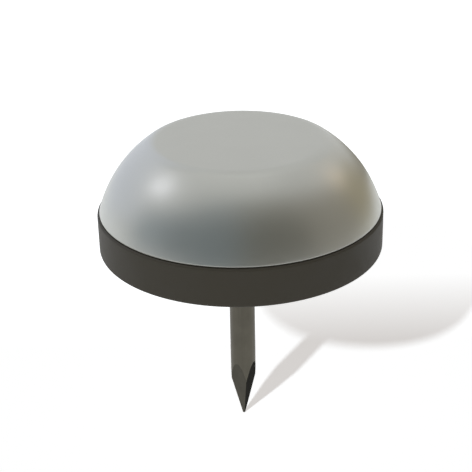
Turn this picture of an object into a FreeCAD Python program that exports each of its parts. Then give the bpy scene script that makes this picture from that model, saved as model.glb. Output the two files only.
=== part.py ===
import FreeCAD, Part
import math
import os

# Nail-on furniture glide. Millimetres, +Z up.
# Origin: centre of the cushion's underside, where the glide seats on the end of a leg.

# Cushion: moulded rubber, with a flange that shows under the cap and a plug inside it
cushion_diameter = 25.0
cushion_height = 3.4
cushion_bevel = 0.3         # on both edges of the flange
plug_clearance = 0.15       # between the plug and the cap

# Cap: drawn from sheet steel, a low dome with a flat sliding face and a lip turned in under the rim
cap_height = 6.2
cap_inset = 0.2             # the rim stands this far inside the cushion's wall
cap_wall = 0.9
sliding_face_diameter = 14.0
shoulder_radius = 2.0
shoulder_turn = 35.0        # degrees from the sliding face to the start of the flank
rim_bevel = 0.3             # on the edge where the rim turns under
lip_width = 2.0             # from the rim's widest line to the lip's free edge

# Nail: drawn wire with an upset head that meets the cap's inner face
wire_diameter = 2.3
nail_reach = 18.2           # from the seat to the tip
head_diameter = 8.4
head_thickness = 1.3
neck_flare = 0.6            # growth of the radius from the seat to the head
point_angle = 20.5          # degrees between opposite facets
point_turn = 14.0           # degrees from the X axis to the nearest ridge of the point
tip_width = 0.15            # across the blunt end of the point
nail_clearance = 0.05       # round the neck and the head, in the cushion

cushion_radius = cushion_diameter / 2
rim_radius = cushion_radius - cap_inset
face_radius = sliding_face_diameter / 2
top_z = cushion_height + cap_height
wire_radius = wire_diameter / 2
head_radius = head_diameter / 2
ceiling_z = top_z - cap_wall
head_z = ceiling_z - head_thickness
lip_bore = rim_radius - lip_width
lip_top_z = cushion_height + cap_wall


def point(radius, height):
    """A point of a half section, in the XZ plane."""
    return FreeCAD.Vector(radius, 0, height)


def line(start, end):
    return Part.makeLine(start, end)


def arc(centre, radius, start, end):
    """An arc of a half section. Angles in degrees, measured from +Z towards the outside."""
    points = []
    for angle in (start, (start + end) / 2, end):
        turn = math.radians(angle)
        points.append(centre + point(radius * math.sin(turn), radius * math.cos(turn)))
    return Part.Arc(*points).toShape()


def turned(edges):
    """The solid that a closed half section sweeps round Z."""
    face = Part.Face(Part.Wire(edges))
    return face.revolve(FreeCAD.Vector(0, 0, 0), FreeCAD.Vector(0, 0, 1), 360)


def neck_radius(height):
    """Radius of the nail's tapered neck, which widens from the seat to the head."""
    return wire_radius + neck_flare * height / head_z


# Cap. The shoulder arc runs out of the sliding face; the flank arc is tangent to it and ends on the rim,
# which turns under into the lip. Inside, the flank's arc at the sheet's thickness meets the flat ceiling.
shoulder_centre = point(face_radius, top_z - shoulder_radius)
rim = point(rim_radius, cushion_height + rim_bevel)
rim_under = point(rim_radius - rim_bevel, cushion_height)
turn = math.radians(shoulder_turn)
outward = point(math.sin(turn), math.cos(turn))
flank_start = shoulder_centre + outward * shoulder_radius
to_rim = rim - flank_start
flank_radius = to_rim.dot(to_rim) / (-2 * to_rim.dot(outward))
flank_centre = flank_start - outward * flank_radius
from_centre = rim - flank_centre
flank_turn = math.degrees(math.atan2(from_centre.x, from_centre.z))
inner_radius = flank_radius - cap_wall


def inner_turn(height):
    """Angle of the flank's inner arc at a height, in degrees."""
    return math.degrees(math.acos((height - flank_centre.z) / inner_radius))


def inner_point(height):
    return point(flank_centre.x + inner_radius * math.sin(math.radians(inner_turn(height))), height)


lip_root = inner_point(lip_top_z)
ceiling_edge = inner_point(ceiling_z)

cap = turned([
    line(point(0, top_z), point(face_radius, top_z)),
    arc(shoulder_centre, shoulder_radius, 0, shoulder_turn),
    arc(flank_centre, flank_radius, shoulder_turn, flank_turn),
    line(rim, rim_under),
    line(rim_under, point(lip_bore, cushion_height)),
    line(point(lip_bore, cushion_height), point(lip_bore, lip_top_z)),
    line(point(lip_bore, lip_top_z), lip_root),
    arc(flank_centre, inner_radius, inner_turn(lip_top_z), inner_turn(ceiling_z)),
    line(ceiling_edge, point(0, ceiling_z)),
    line(point(0, ceiling_z), point(0, top_z)),
])

# Cushion: the flange seats on the leg and carries the cap's lip, which snaps into the groove above it.
# The plug fills the cap round the nail's head.
plug_shoulder = ceiling_edge - point(plug_clearance, plug_clearance)
groove = point(lip_bore - plug_clearance, cushion_height)
groove_top = point(groove.x, lip_top_z)
plug_edge = lip_root - point(plug_clearance, 0)
pocket_radius = head_radius + nail_clearance
wall_low = point(cushion_radius, cushion_bevel)
wall_high = point(cushion_radius, cushion_height - cushion_bevel)
flange_low = point(cushion_radius - cushion_bevel, 0)
flange_high = point(cushion_radius - cushion_bevel, cushion_height)
pocket_high = point(pocket_radius, plug_shoulder.z)
pocket_low = point(pocket_radius, head_z)
hole_high = point(neck_radius(head_z) + nail_clearance, head_z)
hole_low = point(neck_radius(0) + nail_clearance, 0)

cushion = turned([
    line(hole_low, flange_low),
    line(flange_low, wall_low),
    line(wall_low, wall_high),
    line(wall_high, flange_high),
    line(flange_high, groove),
    line(groove, groove_top),
    line(groove_top, plug_edge),
    line(plug_edge, plug_shoulder),
    line(plug_shoulder, pocket_high),
    line(pocket_high, pocket_low),
    line(pocket_low, hole_high),
    line(hole_high, hole_low),
])

# Nail: the head meets the cap's ceiling, so that a blow on the sliding face drives it. The neck tapers
# down to the seat and the wire runs on to the tip.
head_bottom = point(neck_radius(head_z), head_z)
head_low = point(head_radius, head_z)
head_high = point(head_radius, ceiling_z)
head_top = point(0, ceiling_z)
wire_top = point(wire_radius, 0)
wire_end = point(wire_radius, -nail_reach)
blank = turned([
    line(head_top, head_high),
    line(head_high, head_low),
    line(head_low, head_bottom),
    line(head_bottom, wire_top),
    line(wire_top, wire_end),
    line(wire_end, point(0, -nail_reach)),
    line(point(0, -nail_reach), head_top),
])


def square(half_width, height):
    """Corners of a square across the nail's axis, turned with the point's ridges."""
    corners = []
    for quarter in range(4):
        around = math.radians(90 * quarter + point_turn)
        reach = half_width * math.sqrt(2)
        corners.append(FreeCAD.Vector(reach * math.cos(around), reach * math.sin(around), height))
    return corners


def flat(corners):
    return Part.Face(Part.makePolygon(corners + corners[:1]))


# Pinching the wire leaves four flat facets: everything outside a slender pyramid is taken off
facet_slope = math.tan(math.radians(point_angle / 2))
point_height = wire_diameter / facet_slope
tip_corners = square(tip_width / 2, -nail_reach)
core_corners = square(tip_width / 2 + wire_diameter, point_height - nail_reach)
core_faces = [flat(tip_corners), flat(core_corners)]
for low, high in ((0, 1), (1, 2), (2, 3), (3, 0)):
    core_faces.append(flat([tip_corners[low], tip_corners[high], core_corners[high], core_corners[low]]))
point_core = Part.Solid(Part.Shell(core_faces))
pinched_off = Part.makeCylinder(wire_diameter, point_height, point(0, -nail_reach)).cut(point_core)
nail = blank.cut(pinched_off)

os.makedirs("parts", exist_ok=True)
cap.exportStep("parts/glide_cap.step")
cushion.exportStep("parts/cushion.step")
nail.exportStep("parts/nail.step")
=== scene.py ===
import math

import bpy
import numpy as np
from bpy.props import FloatProperty, FloatVectorProperty, PointerProperty
from mathutils import Matrix, Vector


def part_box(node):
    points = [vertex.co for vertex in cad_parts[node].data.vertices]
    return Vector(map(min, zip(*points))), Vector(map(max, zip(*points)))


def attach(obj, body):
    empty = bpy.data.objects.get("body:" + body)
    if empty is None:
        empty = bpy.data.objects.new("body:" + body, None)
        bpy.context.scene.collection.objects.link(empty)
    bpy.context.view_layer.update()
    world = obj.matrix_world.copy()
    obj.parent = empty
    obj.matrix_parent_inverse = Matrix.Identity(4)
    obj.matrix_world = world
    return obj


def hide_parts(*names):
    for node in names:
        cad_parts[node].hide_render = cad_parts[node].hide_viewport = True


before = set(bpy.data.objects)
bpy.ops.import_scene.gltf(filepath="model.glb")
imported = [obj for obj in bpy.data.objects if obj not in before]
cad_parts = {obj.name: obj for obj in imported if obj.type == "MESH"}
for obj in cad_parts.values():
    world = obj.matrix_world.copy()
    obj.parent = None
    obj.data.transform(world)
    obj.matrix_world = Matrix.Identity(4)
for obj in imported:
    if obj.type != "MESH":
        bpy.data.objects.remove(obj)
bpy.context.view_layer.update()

bl_info = {
    "name": "Nail-on Furniture Glide",
    "version": (1, 0, 0),
    "blender": (4, 5, 0),
    "location": "View3D > Sidebar > Glide",
    "description": "Builds a cushioned nail-on furniture glide and a plain studio round it",
    "category": "Add Mesh",
}

CAP_LOW, CAP_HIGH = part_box("glide_cap")
CUSHION_LOW, CUSHION_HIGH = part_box("cushion")
NAIL_LOW, NAIL_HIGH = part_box("nail")
SEAT = CUSHION_LOW.z
MM = 0.001
PHOTO_SIDE = 472
AROUND = 240                # points round the cap and the cushion
POLE_RADIUS = 0.1 * MM      # first ring round the axis, next to a pole


def linear(hex_colour):
    """Linear RGB of an sRGB hex colour."""
    srgb = np.array([int(hex_colour[i:i + 2], 16) for i in (1, 3, 5)]) / 255
    return tuple(np.where(srgb <= 0.04045, srgb / 12.92, ((srgb + 0.055) / 1.055) ** 2.4).tolist())


def length(name, description, default):
    return FloatProperty(name=name, description=description, default=default, unit="LENGTH", precision=5)


def angle(name, description, degrees):
    return FloatProperty(name=name, description=description, default=math.radians(degrees), unit="ROTATION")


def colour(name, description, hex_colour):
    return FloatVectorProperty(name=name, description=description, default=linear(hex_colour),
                               subtype="COLOR", size=3, min=0, max=1)


class CapSettings(bpy.types.PropertyGroup):
    rim_radius: length("Rim radius", "Widest radius of the cap", CAP_HIGH.x)
    base: length("Base", "Height of the cap's underside", CAP_LOW.z)
    top: length("Top", "Height of the sliding face", CAP_HIGH.z)
    face_radius: length("Face radius", "Radius of the flat sliding face", 7.0 * MM)
    shoulder_radius: length("Shoulder radius", "Radius of the arc that leaves the sliding face", 2.0 * MM)
    shoulder_turn: angle("Shoulder turn", "How far the shoulder turns before the flank", 35)
    edge_radius: length("Edge radius", "Radius of the rim's turned-under edge", 0.15 * MM)
    wall: length("Wall", "Thickness of the sheet", 0.9 * MM)
    lip_width: length("Lip width", "From the rim's widest line to the lip's free edge", 2.0 * MM)
    shade: colour("Shade", "Colour of the nickel plate", "#ADAEA9")


class CushionSettings(bpy.types.PropertyGroup):
    wall_radius: length("Wall radius", "Outer radius of the flange", CUSHION_HIGH.x)
    plug_top: length("Plug top", "Height of the plug inside the cap", CUSHION_HIGH.z)
    edge_radius: length("Edge radius", "Radius of the flange's two edges", 0.2 * MM)
    plug_clearance: length("Plug clearance", "Gap between the plug and the cap", 0.15 * MM)
    nail_clearance: length("Nail clearance", "Gap round the nail's neck and head", 0.05 * MM)
    shade: colour("Shade", "Colour of the rubber", "#403C33")


class NailSettings(bpy.types.PropertyGroup):
    wire_radius: length("Wire radius", "Radius of the drawn wire", 1.15 * MM)
    tip: length("Tip", "Height of the tip", NAIL_LOW.z)
    head_radius: length("Head radius", "Radius of the upset head", NAIL_HIGH.x)
    head_top: length("Head top", "Height of the head's upper face", NAIL_HIGH.z)
    head_thickness: length("Head thickness", "Thickness of the head", 1.3 * MM)
    neck_flare: length("Neck flare", "Growth of the radius from the seat to the head", 0.6 * MM)
    point_angle: angle("Point angle", "Angle between opposite facets", 20.5)
    point_turn: angle("Point turn", "From the X axis to the nearest ridge of the point", 14)
    tip_width: length("Tip width", "Across the blunt end", 0.15 * MM)
    shade: colour("Shade", "Colour of the steel", "#605D54")


class StageSettings(bpy.types.PropertyGroup):
    floor_half_side: length("Floor half side", "Half the floor's side", 1.5)
    distance: length("Distance", "From the camera to the seat's centre", 104.2 * MM)
    elevation: angle("Elevation", "Camera's height over the seat", 25.54)
    roll: angle("Roll", "Camera's clockwise turn about its own axis", 1.084)
    focal_pixels: FloatProperty(name="Focal length in pixels", description="For an image of the photo's side",
                                default=1170.6)
    centre_x: FloatProperty(name="Centre X", description="Pixel column of the seat's centre", default=240.95)
    centre_y: FloatProperty(name="Centre Y", description="Pixel row of the seat's centre", default=240.2)
    floor_shade: colour("Floor shade", "Colour of the matt floor", "#FFFFFF")


class GlideSettings(bpy.types.PropertyGroup):
    cap: PointerProperty(type=CapSettings)
    cushion: PointerProperty(type=CushionSettings)
    nail: PointerProperty(type=NailSettings)
    stage: PointerProperty(type=StageSettings)


def arc(centre, radius, start, end, count):
    """Points of a half section on an arc: centre + radius * (sin a, cos a), with a measured from +Z outwards."""
    a = np.linspace(start, end, count)
    return np.stack([centre[0] + radius * np.sin(a), centre[1] + radius * np.cos(a)], axis=1)


def run(start, end, count=2):
    """Points of a half section on a straight line, evenly spaced."""
    t = np.linspace(0, 1, count)[:, None]
    return (1 - t) * np.asarray(start) + t * np.asarray(end)


def joined(*stretches):
    """One half section from stretches that follow each other, with doubled points left out."""
    points = np.concatenate(stretches)
    step = np.linalg.norm(np.diff(points, axis=0), axis=1)
    return points[np.concatenate([[True], step > 1e-8])]


def swept(name, radius, height, start=0.0, looped=False):
    """Mesh object swept round Z: x = r cos a, y = r sin a, z = h for rows of radius and height.

    Radius may differ along a row. An unlooped section starts and ends on the axis, and gets a pole at each end.
    """
    rows, around = radius.shape
    a = start + np.arange(around) * (2 * math.pi / around)
    grid = np.stack([radius * np.cos(a), radius * np.sin(a), np.broadcast_to(height[:, None], radius.shape)], axis=2)
    i = np.arange(rows if looped else rows - 1)[:, None]
    j = np.arange(around)[None, :]
    below = (i + 1) % rows
    beside = (j + 1) % around
    quads = np.stack([i * around + j, below * around + j, below * around + beside, i * around + beside], axis=2)
    vertices = grid.reshape(-1, 3)
    faces = quads.reshape(-1, 4).tolist()
    if not looped:
        first = len(vertices)
        poles = [[0, 0, height[0]], [0, 0, height[-1]]]
        vertices = np.concatenate([vertices, poles])
        ring = np.arange(around)
        last = (rows - 1) * around
        faces += np.stack([np.full(around, first), ring, (ring + 1) % around], axis=1).tolist()
        faces += np.stack([np.full(around, first + 1), last + (ring + 1) % around, last + ring], axis=1).tolist()
    mesh = bpy.data.meshes.new(name)
    mesh.from_pydata(vertices.tolist(), [], faces)
    mesh.shade_smooth()
    mesh.set_sharp_from_angle(angle=math.radians(35))
    mesh.update()
    piece = bpy.data.objects.new(name, mesh)
    bpy.context.scene.collection.objects.link(piece)
    return piece


def neck_radius(nail, height):
    """Radius of the tapered neck: the wire's at the seat, growing evenly up to the head's underside."""
    share = (height - SEAT) / (nail.head_top - nail.head_thickness - SEAT)
    return nail.wire_radius + nail.neck_flare * share


def add(tree, kind, settings=None, inputs=None):
    """Adds a node with its settings; each input takes a value or a link from another node's socket."""
    new = tree.nodes.new(kind)
    for name, value in (settings or {}).items():
        setattr(new, name, value)
    for socket, value in (inputs or {}).items():
        if isinstance(value, bpy.types.NodeSocket):
            tree.links.new(value, new.inputs[socket])
        else:
            new.inputs[socket].default_value = value
    return new


def blank_material(name):
    material = bpy.data.materials.new(name)
    material.use_nodes = True
    material.node_tree.nodes.clear()
    return material


def rgba(shade, factor=1.0):
    return (shade[0] * factor, shade[1] * factor, shade[2] * factor, 1.0)


def satin_nickel(shade):
    # Nickel plate on drawn steel, brushed to a satin: blurred reflections, pulled a little unevenly by the brushing
    material = blank_material("nickel plate, satin brushed")
    tree = material.node_tree
    place = add(tree, "ShaderNodeTexCoord").outputs["Object"]
    # Faint clouds in the plate, about 4 mm across
    clouds = add(tree, "ShaderNodeTexNoise", inputs={"Vector": place, "Scale": 1 / (4 * MM), "Detail": 3.0})
    body = add(tree, "ShaderNodeMix", {"data_type": "RGBA"}, {
        0: clouds.outputs["Fac"], 6: rgba(shade, 0.97), 7: rgba(shade, 1.03)})
    # Satin grain, 0.03 mm on the real plate and drawn at 0.2 mm so that it shows
    grain = add(tree, "ShaderNodeTexNoise", inputs={"Vector": place, "Scale": 1 / (0.2 * MM), "Detail": 2.0})
    gloss = add(tree, "ShaderNodeMapRange", inputs={"Value": grain.outputs["Fac"], "To Min": 0.34, "To Max": 0.42})
    surface = add(tree, "ShaderNodeBsdfPrincipled", inputs={
        "Base Color": body.outputs[2], "Metallic": 1.0, "Roughness": gloss.outputs["Result"]})
    add(tree, "ShaderNodeOutputMaterial", inputs={"Surface": surface.outputs["BSDF"]})
    return material


def moulded_rubber(shade):
    # Carbon-black rubber, compression moulded: nearly black, matt, with a dusty bloom and a slightly uneven skin
    material = blank_material("black rubber, compression moulded")
    tree = material.node_tree
    place = add(tree, "ShaderNodeTexCoord").outputs["Object"]
    # Bloom in patches of about 3 mm
    bloom = add(tree, "ShaderNodeTexNoise", inputs={"Vector": place, "Scale": 1 / (3 * MM), "Detail": 4.0})
    body = add(tree, "ShaderNodeMix", {"data_type": "RGBA"}, {
        0: bloom.outputs["Fac"], 6: rgba(shade, 0.85), 7: rgba(shade, 1.15)})
    # Skin texture, about 0.3 mm
    skin = add(tree, "ShaderNodeTexNoise", inputs={"Vector": place, "Scale": 1 / (0.3 * MM), "Detail": 3.0})
    gloss = add(tree, "ShaderNodeMapRange", inputs={"Value": bloom.outputs["Fac"], "To Min": 0.55, "To Max": 0.75})
    relief = add(tree, "ShaderNodeBump", inputs={"Strength": 0.25, "Distance": 0.03 * MM,
                                                "Height": skin.outputs["Fac"]})
    surface = add(tree, "ShaderNodeBsdfPrincipled", inputs={
        "Base Color": body.outputs[2], "Roughness": gloss.outputs["Result"], "IOR": 1.5,
        "Specular IOR Level": 0.38, "Normal": relief.outputs["Normal"]})
    add(tree, "ShaderNodeOutputMaterial", inputs={"Surface": surface.outputs["BSDF"]})
    return material


def drawn_steel(shade):
    # Low-carbon steel wire, die drawn: dull grey metal with fine lines along the wire
    material = blank_material("low-carbon steel wire, die drawn")
    tree = material.node_tree
    place = add(tree, "ShaderNodeTexCoord").outputs["Object"]
    # Die lines, 0.15 mm apart round the wire and several millimetres long
    along = add(tree, "ShaderNodeMapping", inputs={"Vector": place, "Scale": (1.0, 1.0, 0.03)})
    lines = add(tree, "ShaderNodeTexNoise", inputs={"Vector": along.outputs["Vector"], "Scale": 1 / (0.15 * MM),
                                                   "Detail": 2.0})
    # Dulled patches of about 2 mm
    dulling = add(tree, "ShaderNodeTexNoise", inputs={"Vector": place, "Scale": 1 / (2 * MM), "Detail": 3.0})
    drawn = add(tree, "ShaderNodeMix", {"data_type": "RGBA"}, {
        0: dulling.outputs["Fac"], 6: rgba(shade, 0.8), 7: rgba(shade, 1.2)})
    # Painted shade on the pinched facets of the point: they are made much darker than the wire, and less metallic,
    # by the amount the mesh marks on each facet
    pinched = add(tree, "ShaderNodeAttribute", {"attribute_name": "pinched"})
    body = add(tree, "ShaderNodeMix", {"data_type": "RGBA"}, {
        0: pinched.outputs["Fac"], 6: drawn.outputs[2], 7: rgba(shade, 0.15)})
    bare = add(tree, "ShaderNodeMath", {"operation": "SUBTRACT"}, {0: 1.0, 1: pinched.outputs["Fac"]})
    gloss = add(tree, "ShaderNodeMapRange", inputs={"Value": lines.outputs["Fac"], "To Min": 0.35, "To Max": 0.55})
    relief = add(tree, "ShaderNodeBump", inputs={"Strength": 0.2, "Distance": 0.02 * MM,
                                                "Height": lines.outputs["Fac"]})
    surface = add(tree, "ShaderNodeBsdfPrincipled", inputs={
        "Base Color": body.outputs[2], "Metallic": bare.outputs[0], "Roughness": gloss.outputs["Result"],
        "Specular IOR Level": 0.0, "Normal": relief.outputs["Normal"]})
    add(tree, "ShaderNodeOutputMaterial", inputs={"Surface": surface.outputs["BSDF"]})
    return material


def cap_arcs(cap):
    """Centres, radius and end angle of the arcs of the cap's half section.

    The flank arc is tangent to the shoulder arc where that ends, and to the circle of the rim's edge.
    """
    shoulder = np.array([cap.face_radius, cap.top - cap.shoulder_radius])
    edge = np.array([cap.rim_radius - cap.edge_radius, cap.base + cap.edge_radius])
    outward = np.array([math.sin(cap.shoulder_turn), math.cos(cap.shoulder_turn)])
    start = shoulder + cap.shoulder_radius * outward
    span = edge - start
    flank_radius = (cap.edge_radius**2 - span @ span) / (2 * (span @ outward + cap.edge_radius))
    flank = start - flank_radius * outward
    drop = edge - flank
    return shoulder, flank, edge, flank_radius, math.atan2(drop[0], drop[1])


def inner_wall(cap):
    """Points of the flank's inner arc, which has the outer one's centre, from the lip's top to the ceiling."""
    _, flank, _, flank_radius, _ = cap_arcs(cap)
    radius = flank_radius - cap.wall
    turns = [math.acos((height - flank[1]) / radius) for height in (cap.base + cap.wall, cap.top - cap.wall)]
    return arc(flank, radius, turns[0], turns[1], 24)


class GLIDE_OT_cap(bpy.types.Operator):
    """Build the drawn cap with its flat sliding face and its lip"""

    bl_idname = "glide.build_cap"
    bl_label = "Build Cap"

    def execute(self, context):
        cap = context.scene.glide.cap
        shoulder, flank, edge, flank_radius, flank_turn = cap_arcs(cap)
        inner = inner_wall(cap)
        lip_bore = cap.rim_radius - cap.lip_width
        section = joined(
            run((POLE_RADIUS, cap.top), (cap.face_radius, cap.top), 14),
            arc(shoulder, cap.shoulder_radius, 0, cap.shoulder_turn, 16),
            arc(flank, flank_radius, cap.shoulder_turn, flank_turn, 44),
            arc(edge, cap.edge_radius, flank_turn, math.pi, 16),
            run((edge[0], cap.base), (lip_bore, cap.base), 4),
            run((lip_bore, cap.base), (lip_bore, inner[0, 1]), 3),
            run((lip_bore, inner[0, 1]), inner[0], 3),
            inner,
            run(inner[-1], (POLE_RADIUS, inner[-1, 1]), 8),
        )
        piece = swept("slider_cap", np.repeat(section[:, :1], AROUND, axis=1), section[:, 1])
        piece.data.materials.append(satin_nickel(cap.shade))
        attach(piece, "root")
        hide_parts("glide_cap")
        return {"FINISHED"}


class GLIDE_OT_cushion(bpy.types.Operator):
    """Build the rubber cushion with its flange, groove and plug"""

    bl_idname = "glide.build_cushion"
    bl_label = "Build Cushion"

    def execute(self, context):
        cushion = context.scene.glide.cushion
        nail = context.scene.glide.nail
        cap = context.scene.glide.cap
        inner = inner_wall(cap)
        head_low = nail.head_top - nail.head_thickness
        low_edge = np.array([cushion.wall_radius - cushion.edge_radius, SEAT + cushion.edge_radius])
        high_edge = np.array([cushion.wall_radius - cushion.edge_radius, cap.base - cushion.edge_radius])
        groove = cap.rim_radius - cap.lip_width - cushion.plug_clearance
        plug_edge = (inner[0, 0] - cushion.plug_clearance, inner[0, 1])
        plug_shoulder = (inner[-1, 0] - cushion.plug_clearance, cushion.plug_top)
        pocket = nail.head_radius + cushion.nail_clearance
        hole_high = (neck_radius(nail, head_low) + cushion.nail_clearance, head_low)
        hole_low = (neck_radius(nail, SEAT) + cushion.nail_clearance, SEAT)
        section = joined(
            run(hole_high, (pocket, head_low), 4),
            run((pocket, head_low), (pocket, cushion.plug_top), 3),
            run((pocket, cushion.plug_top), plug_shoulder, 4),
            run(plug_shoulder, plug_edge, 6),
            run(plug_edge, (groove, plug_edge[1]), 3),
            run((groove, plug_edge[1]), (groove, cap.base), 3),
            run((groove, cap.base), (high_edge[0], cap.base), 4),
            arc(high_edge, cushion.edge_radius, 0, math.pi / 2, 12),
            run((cushion.wall_radius, high_edge[1]), (cushion.wall_radius, low_edge[1]), 10),
            arc(low_edge, cushion.edge_radius, math.pi / 2, math.pi, 12),
            run((low_edge[0], SEAT), hole_low, 14),
            run(hole_low, hole_high, 8)[:-1],
        )
        piece = swept("rubber_cushion", np.repeat(section[:, :1], AROUND, axis=1), section[:, 1], looped=True)
        piece.data.materials.append(moulded_rubber(cushion.shade))
        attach(piece, "root")
        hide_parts("cushion")
        return {"FINISHED"}


class GLIDE_OT_nail(bpy.types.Operator):
    """Build the nail with its head, neck, shank and diamond point"""

    bl_idname = "glide.build_nail"
    bl_label = "Build Nail"

    def execute(self, context):
        nail = context.scene.glide.nail
        around = 160
        head_low = nail.head_top - nail.head_thickness
        slope = math.tan(nail.point_angle / 2)
        point_top = nail.tip + (nail.wire_radius - nail.tip_width / 2) / slope
        section = joined(
            run((POLE_RADIUS, nail.head_top), (nail.head_radius, nail.head_top), 6),
            run((nail.head_radius, nail.head_top), (nail.head_radius, head_low), 3),
            run((nail.head_radius, head_low), (neck_radius(nail, head_low), head_low), 4),
            run((neck_radius(nail, head_low), head_low), (nail.wire_radius, SEAT), 8),
            run((nail.wire_radius, SEAT), (nail.wire_radius, point_top), 30),
            run((nail.wire_radius, point_top), (nail.wire_radius, nail.tip), 110),
        )
        # The point: the wire's circle cut back to a square whose half width grows evenly from the tip
        a = np.arange(around) * (2 * math.pi / around)
        half_width = nail.tip_width / 2 + np.clip(section[:, 1] - nail.tip, 0, None) * slope
        facing = np.maximum(np.abs(np.cos(a - math.pi / 4)), np.abs(np.sin(a - math.pi / 4)))
        square = half_width[:, None] / facing[None, :]
        on_wire = section[:, 1] <= SEAT
        radius = np.where(on_wire[:, None], np.minimum(section[:, :1], square), section[:, :1])
        piece = swept("steel_nail", radius, section[:, 1], start=nail.point_turn)
        # Painted shade on each of the four facets of the point, counted from the X axis, set facet by facet to how
        # dark each looks under the light
        facet_shade_levels = np.array([0.6, 0.5, 0.3, 0.87])[(a / (math.pi / 2)).astype(int)]
        pinched = np.where(on_wire[:, None] & (square < section[:, :1]), facet_shade_levels, 0.0)
        mark = piece.data.attributes.new("pinched", "FLOAT", "POINT")
        mark.data.foreach_set("value", np.concatenate([pinched.ravel(), [0.0, 1.0]]).astype(np.float32))
        piece.data.materials.append(drawn_steel(nail.shade))
        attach(piece, "root")
        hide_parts("nail")
        return {"FINISHED"}


LAMPS = (
    # name, direction, distance, size, strength, hex colour, seen in the metal
    ("left window", (-0.73, 0.16, 0.665), 0.30, 0.065, 0.043, "#F1F1FF", True),
    ("right lamp", (0.76, 0.42, 0.46), 0.30, 0.06, 0.015, "#FFD49A", True),
    ("front fill", (-0.2, -1.0, 0.5), 0.40, 0.20, 0.72, "#FFFFFF", False),
)
SCREENS = (
    # name, hex colour, strength, distance, then azimuth, lowest and highest elevation of each upright edge, in
    # degrees; azimuth 0 is behind the glide and 90 to its right
    ("ceiling", "#FFFFFF", 1.15, 0.2, ((0, 66, 90), (360, 66, 90))),
    ("dark screen", "#84827A", 1.0, 0.2, ((122, -2, 43), (145, 0, 46), (165, -20, 47), (180, -20, 48))),
    ("dark screen top", "#A3A197", 1.0, 0.2, ((122, 43, 58), (145, 46, 62), (180, 48, 66))),
    ("grey screen", "#919BA1", 1.0, 0.2, ((180, -20, 48), (205, -12, 46), (220, 2, 42), (245, 4, 30))),
    ("grey screen top", "#ABB3B7", 1.0, 0.2, ((180, 48, 66), (205, 46, 62), (220, 42, 58), (245, 30, 42))),
    ("pale screen", "#AFBBC5", 1.0, 0.2, ((245, 4, 40), (272, 2, 24))),
    ("brown screen", "#B4AFA5", 1.0, 0.2, ((74, -20, 34), (122, -2, 58))),
    ("warm screen", "#C4B99C", 1.0, 0.2, ((38, -20, 16), (74, -20, 30))),
    ("cool screen", "#EFF3FF", 1.28, 0.2, ((276, 12, 22), (295, 4, 30), (315, -10, 46), (345, -20, 46))),
    ("brown card", "#9A9383", 1.0, 0.04,
     ((4, -14, 2), (15, -14, 6), (25, -9, 8), (33, -4, 10), (40, 0, 11), (50, 4, 12))),
)
FLOOR_GAP = 0.01 * MM       # keeps the tip clear of the paper
# The floor lamp, which only casts the shadow: direction, angle across in degrees, strength, hex colour
FLOOR_LAMP = ((-13.8, -24.0, 18.2), 2.5, 2.3, "#F2FAFF")
# The paper: its matt white, its tone in full shadow, and where the wash behind the nail starts and ends
PAPER_WHITE = 0.94
SHADOW_TONE = ("#FFFBF8", 0.66)
WASH = (13 * MM, 28 * MM)


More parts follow.
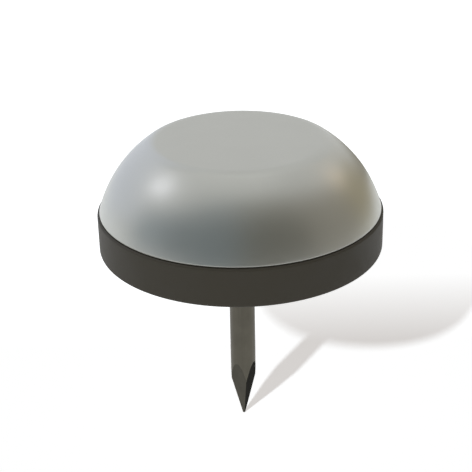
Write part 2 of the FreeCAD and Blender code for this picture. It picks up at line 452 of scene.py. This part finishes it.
class GLIDE_OT_stage(bpy.types.Operator):
    """Set the floor, the lamps, the room and the camera"""

    bl_idname = "glide.build_stage"
    bl_label = "Build Stage"

    def execute(self, context):
        scene = context.scene
        stage = scene.glide.stage
        scene.view_settings.view_transform = "Standard"
        half = stage.floor_half_side
        level = scene.glide.nail.tip - FLOOR_GAP
        mesh = bpy.data.meshes.new("floor")
        mesh.from_pydata([(-half, -half, level), (half, -half, level), (half, half, level), (-half, half, level)],
                         [], [(0, 1, 2, 3)])
        floor = bpy.data.objects.new("floor", mesh)
        scene.collection.objects.link(floor)
        floor.data.materials.append(self.floor_material(stage))
        self.room(scene)
        lit = bpy.data.collections.new("lit by the studio lamps")
        for name in ("slider_cap", "rubber_cushion", "steel_nail"):
            lit.objects.link(bpy.data.objects[name])
        ground = bpy.data.collections.new("lit by the floor lamp")
        ground.objects.link(floor)
        for name, direction, distance, size, strength, hex_colour, in_metal in LAMPS:
            lamp = bpy.data.lights.new(name, "AREA")
            lamp.shape = "DISK"
            lamp.size = size
            lamp.energy = strength
            lamp.color = linear(hex_colour)
            hung = self.hang(scene, lamp, Vector(direction).normalized() * distance, lit)
            hung.visible_glossy = in_metal
        for screen in SCREENS:
            self.screen(scene, *screen)
        direction, across, strength, hex_colour = FLOOR_LAMP
        sun = bpy.data.lights.new("floor lamp", "SUN")
        sun.angle = math.radians(across)
        sun.energy = strength
        sun.color = linear(hex_colour)
        self.hang(scene, sun, Vector(direction).normalized() * 0.5, ground)
        self.camera(scene, stage)
        return {"FINISHED"}

    def hang(self, scene, lamp, place, receivers):
        """A lamp at a place, turned to face the origin, that lights only its receivers."""
        hung = bpy.data.objects.new(lamp.name, lamp)
        scene.collection.objects.link(hung)
        hung.location = place
        hung.rotation_euler = (-place).to_track_quat("-Z", "Y").to_euler()
        hung.light_linking.receiver_collection = receivers
        return hung

    def screen(self, scene, name, hex_colour, strength, distance, edges):
        """A patch of a sphere round the glide, x = r sin a cos e, y = r cos a cos e, z = r sin e.

        It shows only as a reflection in the metal, as the unlit side of a studio does.
        """
        azimuth, low, high = np.radians(edges).T
        a = np.linspace(azimuth[0], azimuth[-1], 33)[None, :]
        share = np.linspace(0, 1, 17)[:, None]
        e = (1 - share) * np.interp(a, azimuth, low) + share * np.interp(a, azimuth, high)
        a = np.broadcast_to(a, e.shape)
        grid = distance * np.stack([np.sin(a) * np.cos(e), np.cos(a) * np.cos(e), np.sin(e)], axis=2)
        rows, columns = a.shape
        i, j = np.meshgrid(np.arange(rows - 1), np.arange(columns - 1), indexing="ij")
        corner = i * columns + j
        faces = np.stack([corner, corner + 1, corner + columns + 1, corner + columns], axis=2)
        mesh = bpy.data.meshes.new(name)
        mesh.from_pydata(grid.reshape(-1, 3).tolist(), [], faces.reshape(-1, 4).tolist())
        hung = bpy.data.objects.new(name, mesh)
        scene.collection.objects.link(hung)
        hung.visible_camera = False
        hung.visible_diffuse = False
        hung.visible_shadow = False
        # Matt cloth: an even tone in the plate's reflections
        material = blank_material(name + ", matt cloth")
        tree = material.node_tree
        tone = add(tree, "ShaderNodeEmission", inputs={"Color": rgba(linear(hex_colour)), "Strength": strength})
        add(tree, "ShaderNodeOutputMaterial", inputs={"Surface": tone.outputs[0]})
        mesh.materials.append(material)

    def seen(self, tree):
        """1 for a ray from the camera, a reflection or a refraction, and 0 for soft light between surfaces."""
        path = add(tree, "ShaderNodeLightPath")
        pair = add(tree, "ShaderNodeMath", {"operation": "MAXIMUM"}, {
            0: path.outputs["Is Camera Ray"], 1: path.outputs["Is Glossy Ray"]})
        return add(tree, "ShaderNodeMath", {"operation": "MAXIMUM"}, {
            0: pair.outputs[0], 1: path.outputs["Is Transmission Ray"]}).outputs[0]

    def floor_material(self, stage):
        # Matt white paper: the part of its white that the floor lamp gives takes the shadow
        material = blank_material("matt white paper")
        tree = material.node_tree
        paper = add(tree, "ShaderNodeBsdfDiffuse", inputs={"Color": rgba(stage.floor_shade, PAPER_WHITE)})
        # Behind the nail the paper is lit up to full white, which washes the shadow out
        place = add(tree, "ShaderNodeSeparateXYZ", inputs={0: add(tree, "ShaderNodeTexCoord").outputs["Object"]})
        wash = add(tree, "ShaderNodeMapRange", inputs={"Value": place.outputs["Y"], "From Min": WASH[0],
                                                       "From Max": WASH[1]})
        hex_colour, share = SHADOW_TONE
        tone = add(tree, "ShaderNodeMix", {"data_type": "RGBA"}, {
            0: wash.outputs[0], 6: rgba(linear(hex_colour), share), 7: (1, 1, 1, 1)})
        glow = add(tree, "ShaderNodeEmission", inputs={"Color": tone.outputs[2], "Strength": self.seen(tree)})
        both = add(tree, "ShaderNodeAddShader", inputs={0: paper.outputs[0], 1: glow.outputs[0]})
        add(tree, "ShaderNodeOutputMaterial", inputs={"Surface": both.outputs[0]})
        return material

    def room(self, scene):
        """A white room that is seen and reflected, but gives no soft light."""
        world = bpy.data.worlds.new("white room")
        world.use_nodes = True
        world.node_tree.nodes.clear()
        tree = world.node_tree
        white = add(tree, "ShaderNodeBackground", inputs={"Color": (1, 1, 1, 1), "Strength": self.seen(tree)})
        add(tree, "ShaderNodeOutputWorld", inputs={"Surface": white.outputs[0]})
        scene.world = world

    def camera(self, scene, stage):
        lens = bpy.data.cameras.new("camera")
        lens.sensor_width = 36
        lens.lens = stage.focal_pixels * lens.sensor_width / PHOTO_SIDE
        lens.shift_x = -(stage.centre_x - PHOTO_SIDE / 2) / PHOTO_SIDE
        lens.shift_y = (stage.centre_y - PHOTO_SIDE / 2) / PHOTO_SIDE
        lens.clip_start = MM
        camera = bpy.data.objects.new("camera", lens)
        scene.collection.objects.link(camera)
        place = Vector((0, -math.cos(stage.elevation), math.sin(stage.elevation))) * stage.distance
        aim = (-place).to_track_quat("-Z", "Y").to_matrix().to_4x4()
        camera.matrix_world = Matrix.Translation(place) @ aim @ Matrix.Rotation(-stage.roll, 4, "Z")
        scene.camera = camera


class GLIDE_PT_sidebar(bpy.types.Panel):
    """Sizes, colours and builders of the glide"""

    bl_idname = "GLIDE_PT_sidebar"
    bl_label = "Nail-on Glide"
    bl_space_type = "VIEW_3D"
    bl_region_type = "UI"
    bl_category = "Glide"

    def draw(self, context):
        glide = context.scene.glide
        for settings, operator in ((glide.cap, GLIDE_OT_cap), (glide.cushion, GLIDE_OT_cushion),
                                   (glide.nail, GLIDE_OT_nail), (glide.stage, GLIDE_OT_stage)):
            box = self.layout.box()
            for name in settings.bl_rna.properties.keys():
                if name not in ("rna_type", "name"):
                    box.prop(settings, name)
            box.operator(operator.bl_idname)


CLASSES = (CapSettings, CushionSettings, NailSettings, StageSettings, GlideSettings,
           GLIDE_OT_cap, GLIDE_OT_cushion, GLIDE_OT_nail, GLIDE_OT_stage, GLIDE_PT_sidebar)


def register():
    for cls in CLASSES:
        bpy.utils.register_class(cls)
    bpy.types.Scene.glide = PointerProperty(type=GlideSettings)


def unregister():
    del bpy.types.Scene.glide
    for cls in reversed(CLASSES):
        bpy.utils.unregister_class(cls)


def main():
    register()
    bpy.ops.glide.build_cap()
    bpy.ops.glide.build_cushion()
    bpy.ops.glide.build_nail()
    bpy.ops.glide.build_stage()


if __name__ == "__main__":
    main()
